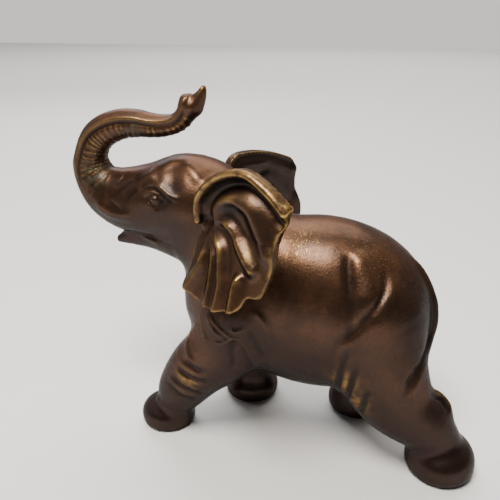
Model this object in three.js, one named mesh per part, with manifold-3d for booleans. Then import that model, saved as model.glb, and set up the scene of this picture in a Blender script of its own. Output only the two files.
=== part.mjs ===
// A cast bronze elephant, about 23 cm long, striding with its trunk thrown back over its brow and its ears
// spread.
// The animal is one casting: body, head, trunk, ears, legs and tail flow into one another, and it stands on
// four flat soles. It faces -X, its left side is towards -Y, and the floor is the plane Z = 0.
// The form is a field that is negative inside the metal. Its pieces are swept limbs, ellipsoids and two
// folded sheets, blended where the flesh flows together, and a mesh is drawn over the zero surface.

import * as THREE from 'three';
import { mergeVertices } from 'three/addons/utils/BufferGeometryUtils.js';
import Module from 'manifold-3d';

// Driving dimensions, in millimetres.
const LENGTH = 230; // from the bend of the trunk to the heel of the left hind foot
const EAR_THICKNESS = 3.4;
const EAR_RIM_DIAMETER = 4.4; // the roll along the top edge of each ear
const TAIL_DIAMETER = 6;

// The mesh: spacing of the lattice it is drawn on, in hundredths of LENGTH, and how many triangles it keeps
const LATTICE = 1;
const FINE_LATTICE = 0.55; // over the ears
const TRIANGLES = 9400;

// The form below is in hundredths of LENGTH, so the pose and the proportions hold at any size.
const HUNDREDTH = LENGTH / 100;

// Field kit

// Joins two fields, filling the crease between them over a width.
function blend(a, b, width) {
  const overlap = Math.max(width - Math.abs(a - b), 0) / width;
  return Math.min(a, b) - 0.25 * width * overlap * overlap;
}

// Cuts field b out of field a, with the lip rounded over a width.
function carve(a, b, width) {
  return -blend(-a, b, width);
}

function smoothstep(low, high, value) {
  const t = THREE.MathUtils.clamp((value - low) / (high - low), 0, 1);
  return t * t * (3 - 2 * t);
}

// Passes a smooth curve through rows of numbers and returns `steps` rows along each span.
function smoothRows(rows, steps, closed = false) {
  const last = rows.length - 1;
  const at = (i) => rows[closed ? (i + rows.length) % rows.length : THREE.MathUtils.clamp(i, 0, last)];
  const spans = closed ? rows.length : rows.length - 1;
  const out = [];
  for (let i = 0; i < spans; i++) {
    for (let k = 0; k < steps; k++) {
      const t = k / steps;
      out.push(
        rows[0].map((_, c) => {
          const [p, q, r, s] = [at(i - 1)[c], at(i)[c], at(i + 1)[c], at(i + 2)[c]];
          const bend = 2 * p - 5 * q + 4 * r - s;
          const twist = 3 * q - p - 3 * r + s;
          return 0.5 * (2 * q + (r - p) * t + bend * t ** 2 + twist * t ** 3);
        }),
      );
    }
  }
  if (!closed) out.push(rows[rows.length - 1]);
  return out;
}

// A limb swept through stations [x, y, z, radius seen from the side, half width across the animal].
// A skin, if there is one, gives the height of its relief from how far along the limb a point lies, its angle
// round the limb from the outside of the bend, and the radius there.
function limb(stations, skin = null) {
  const rows = smoothRows(stations, 3);
  const reach = 8;
  const low = [0, 1, 2].map((c) => Math.min(...rows.map((r) => r[c] - Math.max(r[3], r[4]))));
  const high = [0, 1, 2].map((c) => Math.max(...rows.map((r) => r[c] + Math.max(r[3], r[4]))));
  const arcs = [0];
  for (let i = 1; i < rows.length; i++) {
    const [a, b] = [rows[i - 1], rows[i]];
    arcs.push(arcs[i - 1] + Math.hypot(b[0] - a[0], b[1] - a[1], b[2] - a[2]));
  }
  return (x, y, z) => {
    const off = Math.max(low[0] - x, x - high[0], low[1] - y, y - high[1], low[2] - z, z - high[2]);
    if (off > reach) return off;
    let best = Infinity;
    let where = null;
    for (let i = 0; i + 1 < rows.length; i++) {
      const a = rows[i];
      const b = rows[i + 1];
      const [ux, uy, uz] = [b[0] - a[0], b[1] - a[1], b[2] - a[2]];
      const along = ((x - a[0]) * ux + (y - a[1]) * uy + (z - a[2]) * uz) / (ux * ux + uy * uy + uz * uz);
      const t = THREE.MathUtils.clamp(along, 0, 1);
      const dx = x - a[0] - ux * t;
      const dy = y - a[1] - uy * t;
      const dz = z - a[2] - uz * t;
      const side = a[3] + (b[3] - a[3]) * t;
      const across = a[4] + (b[4] - a[4]) * t;
      const ratio = Math.max(Math.hypot(dx / side, dz / side, dy / across), 1e-6);
      const distance = Math.sqrt(dx * dx + dy * dy + dz * dz);
      const value = distance < 1e-6 ? -Math.min(side, across) : distance * (1 - 1 / ratio);
      if (value < best) {
        best = value;
        where = [i, t, dx, dz, distance, side];
      }
    }
    if (!skin || Math.abs(best) > 2) return best;
    const [i, t, dx, dz, distance, radius] = where;
    const arc = arcs[i] + (arcs[i + 1] - arcs[i]) * t;
    const [tx, tz] = [rows[i + 1][0] - rows[i][0], rows[i + 1][2] - rows[i][2]];
    const outward = (dz * tx - dx * tz) / (Math.hypot(tx, tz) * Math.max(distance, 1e-6));
    return best - skin(arc, Math.acos(THREE.MathUtils.clamp(outward, -1, 1)), radius);
  };
}

function ellipsoid(cx, cy, cz, rx, ry, rz, pitch = 0) {
  const cos = Math.cos(THREE.MathUtils.degToRad(pitch));
  const sin = Math.sin(THREE.MathUtils.degToRad(pitch));
  return (x, y, z) => {
    const dx = ((x - cx) * cos + (z - cz) * sin) / rx;
    const dy = (y - cy) / ry;
    const dz = ((z - cz) * cos - (x - cx) * sin) / rz;
    const ratio = Math.hypot(dx, dy, dz);
    const slope = Math.hypot(dx / rx, dy / ry, dz / rz);
    return slope < 1e-9 ? -Math.min(rx, ry, rz) : (ratio * (ratio - 1)) / slope;
  };
}

// A foot: a dome over a sole with a rounder edge, both round seen from above.
function foot(cx, cy, cz, rx, ry, dome) {
  return (x, y, z) => {
    const flat = Math.hypot((x - cx) / rx, (y - cy) / ry);
    const power = z > cz ? 2.2 : 3;
    const depth = z > cz ? dome : 1.4 * cz;
    const ratio = (flat ** power + Math.abs((z - cz) / depth) ** power) ** (1 / power);
    return (ratio - 1) * Math.min(rx, dome);
  };
}

// Distance from a point to a line of points, and how far along the line its nearest place is.
function lineDistance(rows, ...point) {
  let best = Infinity;
  let place = 0;
  for (let i = 0; i + 1 < rows.length; i++) {
    const a = rows[i];
    const b = rows[i + 1];
    let dot = 0;
    let length = 0;
    for (let c = 0; c < point.length; c++) {
      dot += (point[c] - a[c]) * (b[c] - a[c]);
      length += (b[c] - a[c]) ** 2;
    }
    const t = THREE.MathUtils.clamp(dot / length, 0, 1);
    let square = 0;
    for (let c = 0; c < point.length; c++) square += (point[c] - a[c] - (b[c] - a[c]) * t) ** 2;
    if (square < best) {
      best = square;
      place = (i + t) / (rows.length - 1);
    }
  }
  return [Math.sqrt(best), place];
}

// A soft-sided stroke along a line through points, full in its middle and fading to both ends.
// Its value is a height to add to the surface, and a negative height is a groove.
function stroke(points, width, height, mirrored = true) {
  const rows = smoothRows(points, 3);
  const reach = 3 * width;
  const low = [0, 1, 2].map((c) => Math.min(...rows.map((r) => r[c])) - reach);
  const high = [0, 1, 2].map((c) => Math.max(...rows.map((r) => r[c])) + reach);
  return (x, y, z) => {
    const side = mirrored ? -Math.abs(y) : y;
    const point = [x, side, z];
    if (point.some((v, c) => v < low[c] || v > high[c])) return 0;
    const [distance, place] = lineDistance(rows, x, side, z);
    const fade = smoothstep(0, 0.18, place) * smoothstep(1, 0.82, place);
    return height * fade * Math.exp(-((distance / width) ** 2));
  };
}

// Body

const torso = limb([
  [-17.5, 0, 33, 13.5, 13],
  [-10, 0, 35, 17.8, 16],
  [0, 0, 35.4, 21.3, 17],
  [7, 0, 35.2, 20.4, 16.8],
  [11.4, 0, 34.5, 17, 15.8],
]);
const neck = limb([
  [-24.8, 0, 56, 10.5, 10],
  [-19, 0, 48, 13, 12],
  [-15.5, 0, 38, 14.5, 13.5],
]);

// Legs, each from its shoulder or hip down to the ankle, with its foot

const leftFore = limb([
  [-15, -9.5, 33, 10, 8],
  [-19.3, -10.3, 25.5, 8.6, 7.4],
  [-25, -10, 18.8, 6.9, 6.4],
  [-30, -9.3, 12, 5.7, 5.6],
  [-32.5, -9, 7.6, 4.9, 5],
]);
const rightFore = limb([
  [-17, 9, 32, 9.5, 8],
  [-17.6, 9.8, 22, 7.6, 7],
  [-17, 9.2, 13, 6.4, 6.2],
  [-16.8, 8.8, 7, 5.8, 5.8],
]);
const leftHind = limb([
  [12.8, -7.5, 34, 13, 9.5],
  [17.3, -8.8, 25, 10.9, 8.6],
  [21.8, -9.4, 17.2, 8.8, 7.6],
  [28, -9.4, 12, 6.9, 6.7],
  [31.6, -9.1, 7.7, 5.8, 6],
]);
const rightHind = limb([
  [12, 7.5, 34, 12.5, 9.5],
  [11, 9, 22, 9.8, 8],
  [11.3, 9, 14, 7.2, 7],
  [12, 8.8, 7, 6.2, 6.2],
]);
const feet = [
  foot(-35.5, -8.8, 2.4, 7, 6.7, 4.5),
  foot(-17, 8.6, 2.4, 7.4, 7.2, 5),
  foot(33.3, -9.6, 2.8, 8, 8.4, 6),
  foot(12.6, 8.6, 2.6, 7.6, 7, 5.4),
];
const legs = [leftFore, rightFore, leftHind, rightHind];
const hock = ellipsoid(31.2, -7.8, 15.8, 4, 3, 2.4, -40);

// Head and trunk

// The outside of the trunk's bend is a smooth band, with a raised line and a groove along each edge.
function trunkSkin(arc, angle, radius) {
  const full = smoothstep(20, 30, arc) * smoothstep(78, 72, arc);
  const off = radius * (angle - THREE.MathUtils.degToRad(62));
  return full * (0.4 * Math.exp(-((off / 0.5) ** 2)) - 0.35 * Math.exp(-(((off - 1) / 0.55) ** 2)));
}

const skull = ellipsoid(-28.3, 0, 59.6, 10.8, 9.6, 9.5);
const trunk = limb([
  [-33, 0, 58.7, 10, 9.6],
  [-40, 0, 57.8, 8.9, 8.2],
  [-46, 0, 57.6, 7.9, 6.9],
  [-51, 0, 59, 6.5, 5.8],
  [-54.2, 0, 62.2, 5.2, 4.8],
  [-55.4, 0, 65.5, 4.5, 4.2],
  [-55.2, 0, 67.9, 4, 4],
  [-54.2, 0, 70.7, 3.8, 3.9],
  [-52.5, 0, 73, 3.8, 3.8],
  [-49.7, 0, 74.8, 3.7, 3.7],
  [-46.2, 0, 76, 3.5, 3.5],
  [-42.5, 0, 76.3, 3.2, 3.3],
  [-39.4, 0, 76, 2.9, 3],
  [-36.1, 0, 76, 2.6, 2.8],
  [-32.9, 0, 76.7, 2.3, 2.6],
  [-30.8, 0, 78.3, 2.3, 2.5],
  [-29.4, 0, 80.6, 2.4, 2.6],
], trunkSkin);
const trunkFinger = limb([
  [-28.2, 0, 80.5, 1.9, 2],
  [-26.9, 0, 82.8, 1.3, 1.3],
  [-25.9, 0, 84.6, 0.6, 0.7],
]);
const trunkLip = limb([
  [-29.8, 0, 80.8, 1.6, 2],
  [-30.6, 0, 82.4, 0.7, 1.2],
]);
const nostrils = ellipsoid(-28.6, 0, 84, 1.8, 1.7, 1.6);
const jaw = limb([
  [-32, 0, 51, 7.5, 7.5],
  [-39.4, 0, 49.8, 4.6, 4.6],
  [-45.6, 0, 48.2, 2.4, 2.8],
  [-49.2, 0, 47, 1.1, 1.4],
]);

// Ears: a folded sheet in its own plane. s runs from the root to the back corner, h runs up.

const LEFT_OUTLINE = [
  [-1.4, 0.7], [-1.2, 5], [1.5, 8.5], [6.1, 11.5], [11.8, 13.3], [15.8, 13.2], [20.8, 11.2], [24.5, 8.7],
  [26.2, 7.6], [24.7, 3.9], [23.1, 0.4], [23, -3.4], [22, -8], [21.2, -10.4], [18, -11.2], [17.2, -14],
  [14.6, -15.6], [8.6, -16.8], [3.6, -16.3], [0.6, -15.2], [-0.6, -13.2], [-0.2, -9.9], [0.5, -5.5],
  [0.1, -0.7],
];
const RIGHT_OUTLINE = [
  [-1.6, 0.7], [-2.8, 5], [-2.6, 9], [0, 11.4], [5, 11.5], [9.1, 11], [14, 9.9], [17.6, 8.6],
  [19.9, 7.4], [21.2, 4.6], [21.5, 0.1], [22.6, -3.2], [23.8, -6.2], [23.6, -9.8], [21, -12.6], [17.2, -14],
  [14.6, -15.6], [8.6, -16.8], [3.6, -16.3], [-0.4, -15.4], [-1.4, -13.5], [-0.3, -9.9], [0.5, -5.5],
  [0.1, -0.7],
];
const EAR_FOLDS = [
  {
    height: 1.5,
    width: 1.5,
    line: [[3.6, 2.6], [7, 5.4], [10.6, 7], [12.8, 6.9], [15.5, 5.9], [17.1, 3.9], [18.7, 1.1], [20.8, -1.4]],
  },
  {
    height: 1.8,
    width: 1.1,
    line: [[4.5, 0.7], [8.4, 1.7], [10.8, 1.3], [12.5, -0.2], [14, -1.9], [16.3, -3.8], [18.2, -5]],
  },
  {
    height: 1.8,
    width: 1,
    line: [[4.4, -0.3], [6.8, -1.9], [8.7, -3.2], [9.5, -4.7], [10.6, -7.9], [11.4, -10.6], [11.4, -17]],
  },
  { height: 1.1, width: 0.9, line: [[4.5, -2.4], [6.9, -5.4], [7.9, -9.9], [8.2, -13.3], [8.6, -18]] },
  { height: 1.5, width: 1.1, line: [[3.6, -2.7], [4.1, -6.2], [3.8, -8.6], [2, -12.2], [-0.8, -16]] },
  { height: 1.9, width: 1.1, line: [[16, -6.4], [15.3, -8.3], [15.4, -11.1], [15.9, -16]] },
];

const earFolds = EAR_FOLDS.map((fold) => ({ ...fold, rows: smoothRows(fold.line, 3) }));

function outlineDistance(rows, s, h) {
  let best = Infinity;
  let inside = false;
  for (let i = 0, j = rows.length - 1; i < rows.length; j = i++) {
    const [ax, ay] = rows[i];
    const [bx, by] = rows[j];
    const [ux, uy] = [bx - ax, by - ay];
    const t = THREE.MathUtils.clamp(((s - ax) * ux + (h - ay) * uy) / (ux ** 2 + uy ** 2), 0, 1);
    best = Math.min(best, Math.hypot(s - ax - ux * t, h - ay - uy * t));
    if (ay > h !== by > h && s < (ux * (h - ay)) / uy + ax) inside = !inside;
  }
  return inside ? -best : best;
}

// How far the outer face stands out from the sheet: the folds fan out from the root.
function earRelief(s, h, toRim) {
  let out = 1.3 * Math.exp(-((toRim / 1.5) ** 2)) - 0.9 * Math.exp(-(((toRim - 3) / 1.3) ** 2));
  for (const fold of earFolds) {
    const [distance, place] = lineDistance(fold.rows, s, h);
    out += fold.height * smoothstep(0, 0.3, place) * Math.exp(-((distance / fold.width) ** 2));
  }
  return out;
}

// The rim is rolled along the first nine points of the outline, from the front of the ear over its top to the
// back corner. The inner face follows the folds faintly.
function ear({ side, root, flare, outline, lean }) {
  const turn = THREE.MathUtils.degToRad(flare);
  const cos = Math.cos(turn);
  const sin = Math.sin(turn);
  const half = (0.5 * EAR_THICKNESS) / HUNDREDTH;
  const rimRadius = (0.5 * EAR_RIM_DIAMETER) / HUNDREDTH;
  const rounding = 0.45 * half;
  const edgeRows = smoothRows(outline, 3, true);
  const inset = outline.slice(0, 9).map(([s, h]) => [s + 0.02 * (10 - s), h - 0.5]);
  const rimRows = smoothRows(inset, 3);
  const reach = 6;
  return (x, y, z) => {
    const dx = x - root[0];
    const dy = (y - root[1]) * side;
    const s = dx * cos + dy * sin;
    const h = z - root[2];
    const n = dy * cos - dx * sin;
    const off = Math.max(-4 - s, s - 28, -19 - h, h - 15, -6 - n, n - 11);
    if (off > reach) return off;
    const [toRim, place] = lineDistance(rimRows, s, h);
    const relief = earRelief(s, h, toRim);
    const stand = lean * Math.max(-h, 0);
    const edge = outlineDistance(edgeRows, s, h) + rounding;
    const face = 0.8 * Math.max(n - stand - relief, stand + 0.4 * relief - n) - half + rounding;
    const corner = Math.hypot(Math.max(edge, 0), Math.max(face, 0));
    const sheet = Math.min(Math.max(edge, face), 0) + corner - rounding;
    const taper = rimRadius * (0.45 + 0.55 * smoothstep(1, 0.8, place));
    const rim = Math.hypot(toRim, n - 1.2) - taper;
    return blend(sheet, rim, 0.6);
  };
}

const leftEar = ear({ side: -1, root: [-23, -13, 59], flare: 29.6, outline: LEFT_OUTLINE, lean: 0.36 });
const rightEar = ear({ side: 1, root: [-22, 11, 56], flare: 56, outline: RIGHT_OUTLINE, lean: 0 });
const leftEarRoot = limb([
  [-19.5, -8.5, 63, 4, 4.5],
  [-18.5, -9.5, 57, 5, 5.5],
  [-17.5, -10, 49, 5, 6],
]);
const rightEarRoot = limb([
  [-18.5, 8, 63, 4, 4.5],
  [-17, 10, 56, 5, 5],
  [-16, 10.5, 48, 5, 5],
]);

// Tail, lying on the rump and the left thigh

const tailRadius = (0.5 * TAIL_DIAMETER) / HUNDREDTH;
const tail = limb(
  [
    [18, 0, 49.5, 0.7],
    [23.3, -0.3, 46.8, 1],
    [27.2, -0.8, 40.4, 1],
    [28.6, -1.8, 34.2, 1],
    [28, -3.4, 28.8, 1],
    [26.2, -6, 23.2, 0.9],
    [25.6, -8.8, 19.8, 0.75],
    [26.4, -10.4, 17.4, 0.35],
  ].map(([x, y, z, share]) => [x, y, z, share * tailRadius, share * tailRadius]),
);

// Relief that stands out or sinks in on the finished form

// Flank and haunch, on both sides
const flankFolds = [
  stroke(
    [[8.3, -10.8, 51.2], [8.2, -12.3, 49.5], [8.5, -13.6, 47.3], [9, -14.7, 45.1], [9.4, -15.9, 40]],
    1.1, -0.8,
  ),
  stroke([[9.1, -10.9, 50.8], [10, -13.4, 47.2], [10.3, -15.6, 42], [10.3, -15.9, 39.7]], 0.7, 0.5),
  stroke([[10.1, -11.8, 49.5], [11, -12.8, 47.7], [11.2, -15.1, 43.9], [11, -15.7, 42.1]], 0.9, -0.6),
  stroke(
    [
      [15.5, -8.1, 51], [16.6, -10.7, 47.8], [16, -13, 45.6], [14.7, -14.7, 43.2], [12.8, -15.8, 40.2],
      [10.3, -16.3, 37.3], [8.7, -16.3, 35.2],
    ],
    1.3, -1.2,
  ),
  stroke(
    [
      [17.6, -7.7, 49.9], [18.5, -10, 47.4], [18.2, -12.5, 44.9], [16.9, -14.7, 42.4],
      [14.7, -16.2, 39.6], [12.1, -17.1, 36.7],
    ],
    2.2, 0.9,
  ),
  stroke([[9.5, -16.3, 36.5], [8, -16.4, 33.6], [7, -16.4, 30.2], [6.9, -15.4, 26]], 1, -0.9),
];
// Creases across the front of the left thigh, and the tendon over its hock
const thighFolds = [
  stroke([[10.8, -17.1, 30], [9.3, -16.2, 26.3], [8, -14, 22]], 0.6, -0.6, false),
  stroke([[12.4, -16.6, 25.4], [11.1, -15.3, 21.3], [10.2, -13.4, 18.5]], 0.6, -0.6, false),
  stroke([[16.2, -17, 21.6], [14.7, -16.2, 18.8], [13.7, -14, 15.8]], 0.6, -0.5, false),
  stroke(
    [[28.2, -11.9, 23.6], [31, -8.3, 20], [32.8, -8.1, 18.6], [34, -8.8, 17], [34.3, -10, 15]],
    0.8, 0.6, false,
  ),
  stroke(
    [[28.9, -11.9, 21.6], [31.5, -9.3, 19.1], [32.7, -9.6, 17.8], [33.3, -10.8, 16.6]],
    0.6, -0.6, false,
  ),
  stroke([[27.2, -5.6, 30], [26.4, -8.6, 27], [25.4, -11.2, 24], [24.8, -12.6, 21]], 0.9, -0.9, false),
];
// Creases round the left knee, and the folds of the shoulder and elbow
const forelegFolds = [
  stroke(
    [[-27.6, -15.4, 22.4], [-26.1, -16.2, 22.2], [-24.7, -16.7, 21.9], [-22.6, -16.8, 21]],
    0.5, -0.5, false,
  ),
  stroke(
    [[-29.6, -14.6, 19.9], [-28.2, -15.6, 19.7], [-26.2, -16.3, 19.3], [-23.4, -16.3, 18.2]],
    0.55, -0.6, false,
  ),
  stroke(
    [[-32, -13.4, 16.8], [-30.8, -14.7, 16.5], [-28.4, -15.7, 15.9], [-25.8, -15.2, 13.9]],
    0.55, -0.6, false,
  ),
  stroke([[-34.3, -12.1, 14.4], [-32.9, -13.9, 13.5], [-31, -14.6, 11.4]], 0.5, -0.4, false),
  stroke(
    [
      [-23.5, -14.4, 34.6], [-25.4, -13.6, 30.9], [-27.4, -12, 28], [-27.2, -14.1, 26.3],
      [-25.9, -15.9, 24.5], [-23.3, -17.1, 23.3],
    ],
    0.7, 0.5, false,
  ),
  stroke(
    [[-22.6, -14.4, 35], [-23.1, -15.3, 32.5], [-22.1, -16.3, 31.4], [-20, -17, 30.4]],
    0.6, -0.5, false,
  ),
  stroke([[-21.9, -15, 37.2], [-20.5, -16.3, 34.5], [-18.9, -17.1, 33.2], [-16, -17.6, 32]], 0.7, 0.5, false),
  stroke(
    [
      [-14.6, -17.6, 33.2], [-15, -17.6, 31.2], [-15.3, -17.6, 29.2], [-15.1, -17.3, 26.4],
      [-15.8, -16.6, 23.4],
    ],
    0.9, -1.2, false,
  ),
  stroke(
    [[-12.6, -17.6, 33], [-15.9, -17.7, 32.2], [-17.6, -17.7, 31.2], [-20, -17.3, 30.6]],
    0.6, 0.4, false,
  ),
  stroke(
    [[-13.4, -17.5, 32.6], [-12.2, -17, 29.1], [-11.3, -15.5, 25.5], [-10.9, -13.2, 21.6]],
    0.8, -0.7, false,
  ),
  stroke([[-11.8, -17.4, 36], [-9.8, -17, 31.5], [-8.4, -15.1, 26.6]], 1.1, -0.5, false),
];
// Brow, lids, temple and lip, on both sides
const faceFolds = [
  stroke(
    [
      [-38.9, -7.6, 61.9], [-37.3, -8, 63.2], [-35.9, -8.3, 63.4], [-34.2, -9.1, 63],
      [-32.2, -9.9, 62.2], [-28.8, -10.4, 60.9],
    ],
    0.5, -0.45,
  ),
  stroke(
    [
      [-36.2, -7.4, 65], [-34.6, -8.6, 64.1], [-33.1, -9.5, 63.2], [-31.2, -10, 62.2],
      [-28.4, -10.4, 61.3],
    ],
    0.8, 0.5,
  ),
  stroke(
    [
      [-38.5, -8.2, 61.2], [-37.7, -8.2, 62.1], [-36.4, -8.4, 62.6], [-34.6, -8.8, 62.2],
      [-32.2, -9.9, 61.1],
    ],
    0.4, 0.4,
  ),
  stroke(
    [
      [-38, -8.4, 60.8], [-37.1, -8.8, 59.7], [-35.9, -9.1, 59.4], [-34.7, -9.2, 59.8],
      [-32.8, -9.7, 60.9],
    ],
    0.4, 0.35,
  ),
  stroke([[-34.8, -6.8, 66.2], [-33.2, -8.1, 65.3], [-30.4, -9.8, 62.6]], 0.7, -0.35),
  stroke([[-33.8, -4, 68.6], [-32.2, -5.6, 67.9], [-30.6, -7, 66.8]], 0.6, -0.3),
  stroke(
    [
      [-48.2, -1.6, 49.9], [-45.5, -3.6, 50.4], [-42.3, -4.7, 50.7], [-39.1, -5.5, 50.5],
      [-35.3, -6.6, 49.9], [-32, -7.8, 50.2],
    ],
    0.6, -0.7,
  ),
  stroke([[-42.3, -4.9, 49.6], [-39.1, -5.6, 49.3], [-36.4, -6.4, 48.6]], 0.7, 0.35),
];
const relief = [...flankFolds, ...thighFolds, ...forelegFolds, ...faceFolds];
const eyeSocket = ellipsoid(-35.6, -10.6, 61.1, 3, 2, 1.9);
const eyeBall = ellipsoid(-35.4, -8.3, 61, 1.3, 1, 1);

// The whole casting

function casting(x, y, z) {
  let body = blend(torso(x, y, z), neck(x, y, z), 6);
  for (const leg of legs) body = blend(body, leg(x, y, z), 3);
  body = blend(body, hock(x, y, z), 2);
  for (const sole of feet) body = blend(body, sole(x, y, z), 1.6);
  let head = blend(skull(x, y, z), trunk(x, y, z), 4);
  head = blend(head, jaw(x, y, z), 1.5);
  head = blend(blend(head, trunkFinger(x, y, z), 0.8), trunkLip(x, y, z), 0.8);
  head = carve(head, nostrils(x, y, z), 0.5);
  head = carve(head, eyeSocket(x, -Math.abs(y), z), 1.2);
  head = blend(head, eyeBall(x, -Math.abs(y), z), 0.2);
  let form = blend(body, head, 4);
  form = blend(blend(form, leftEarRoot(x, y, z), 2.5), rightEarRoot(x, y, z), 2.5);
  for (const lay of relief) form -= lay(x, y, z);
  form = blend(form, tail(x, y, z), 0.8);
  return blend(blend(form, leftEar(x, y, z), 1.6), rightEar(x, y, z), 1.6);
}

// Mesh

// Lattice coordinates along one axis, closer together inside the fine stretches.
function latticeAxis(low, high, stretches) {
  const out = [];
  for (let v = low; v < high + LATTICE; ) {
    out.push(v);
    v += stretches.some(([from, to]) => v >= from && v < to) ? FINE_LATTICE : LATTICE;
  }
  return out;
}

// Values of a field on the lattice. Blocks that lie clear of the surface take their middle's value.
function fieldOnLattice(field, axes) {
  const [nx, ny, nz] = axes.map((axis) => axis.length);
  const values = new Float32Array(nx * ny * nz);
  const block = 5;
  const ends = (axis, i) => [axis[i], axis[Math.min(i + block, axis.length) - 1]];
  for (let k = 0; k < nz; k += block) {
    for (let j = 0; j < ny; j += block) {
      for (let i = 0; i < nx; i += block) {
        const spans = [ends(axes[0], i), ends(axes[1], j), ends(axes[2], k)];
        const far = 0.5 * Math.hypot(...spans.map(([a, b]) => b - a)) * 1.7;
        const middle = field(...spans.map(([a, b]) => (a + b) / 2));
        for (let c = k; c < Math.min(k + block, nz); c++) {
          for (let b = j; b < Math.min(j + block, ny); b++) {
            for (let a = i; a < Math.min(i + block, nx); a++) {
              const value = Math.abs(middle) > far ? middle : field(axes[0][a], axes[1][b], axes[2][c]);
              values[(c * ny + b) * nx + a] = value;
            }
          }
        }
      }
    }
  }
  return values;
}

const CUBE = [[0, 0, 0], [1, 0, 0], [1, 1, 0], [0, 1, 0], [0, 0, 1], [1, 0, 1], [1, 1, 1], [0, 1, 1]];
const TETRAHEDRA = [[0, 5, 1, 6], [0, 1, 2, 6], [0, 2, 3, 6], [0, 3, 7, 6], [0, 7, 4, 6], [0, 4, 5, 6]];
const ONE_INSIDE = { 1: [0, 1, 2, 3], 2: [1, 0, 3, 2], 4: [2, 0, 1, 3], 8: [3, 0, 2, 1] };
const TWO_INSIDE = {
  3: [0, 1, 2, 3], 5: [0, 2, 3, 1], 9: [0, 3, 1, 2],
  6: [1, 2, 0, 3], 10: [1, 3, 2, 0], 12: [2, 3, 0, 1],
};

// Draws the zero surface of a field. Each lattice cube is split into six tetrahedra, so the mesh closes.
function drawSurface(field, axes) {
  const values = fieldOnLattice(field, axes);
  const [nx, ny, nz] = axes.map((axis) => axis.length);
  const positions = [];
  const faces = [];
  const known = new Map();
  const at = (n) => [n % nx, Math.floor(n / nx) % ny, Math.floor(n / (nx * ny))];
  const place = (n) => at(n).map((index, c) => axes[c][index]);
  const crossing = (m, n) => {
    const [a, b] = m < n ? [m, n] : [n, m];
    const key = a * values.length + b;
    if (!known.has(key)) {
      const t = THREE.MathUtils.clamp(values[a] / (values[a] - values[b]), 0.01, 0.99);
      const [p, q] = [place(a), place(b)];
      known.set(key, positions.length);
      positions.push(p.map((v, c) => v + (q[c] - v) * t));
    }
    return known.get(key);
  };
  for (let k = 0; k + 1 < nz; k++) {
    for (let j = 0; j + 1 < ny; j++) {
      for (let i = 0; i + 1 < nx; i++) {
        const cube = CUBE.map(([a, b, c]) => ((k + c) * ny + j + b) * nx + i + a);
        const inside = cube.reduce((sum, n) => sum + (values[n] < 0), 0);
        if (inside === 0 || inside === 8) continue;
        for (const corners of TETRAHEDRA) {
          const n = corners.map((corner) => cube[corner]);
          const code = n.reduce((sum, m, bit) => sum + (values[m] < 0 ? 2 ** bit : 0), 0);
          const one = ONE_INSIDE[code] || ONE_INSIDE[15 - code];
          if (one) {
            const [p, q, r, s] = one.map((c) => n[c]);
            const face = [crossing(p, q), crossing(p, r), crossing(p, s)];
            faces.push(ONE_INSIDE[code] ? face : face.reverse());
          } else if (TWO_INSIDE[code]) {
            const [p, q, r, s] = TWO_INSIDE[code].map((c) => n[c]);
            const ring = [crossing(p, r), crossing(p, s), crossing(q, s), crossing(q, r)];
            faces.push([ring[0], ring[1], ring[2]], [ring[0], ring[2], ring[3]]);
          }
        }
      }
    }
  }
  return { positions, faces };
}

// Moves a point on to the zero surface along the field's own slope, in short steps.
function settle(field, p) {
  const e = 0.05;
  for (let round = 0; round < 2; round++) {
    const value = field(...p);
    const slope = [0, 1, 2].map((c) => {
      const q = [...p];
      q[c] += e;
      return (field(...q) - value) / e;
    });
    const square = slope.reduce((sum, v) => sum + v * v, 0);
    if (square < 0.05) return;
    const move = THREE.MathUtils.clamp(value / square, -0.2, 0.2);
    slope.forEach((v, c) => (p[c] -= v * move));
  }
}

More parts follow.
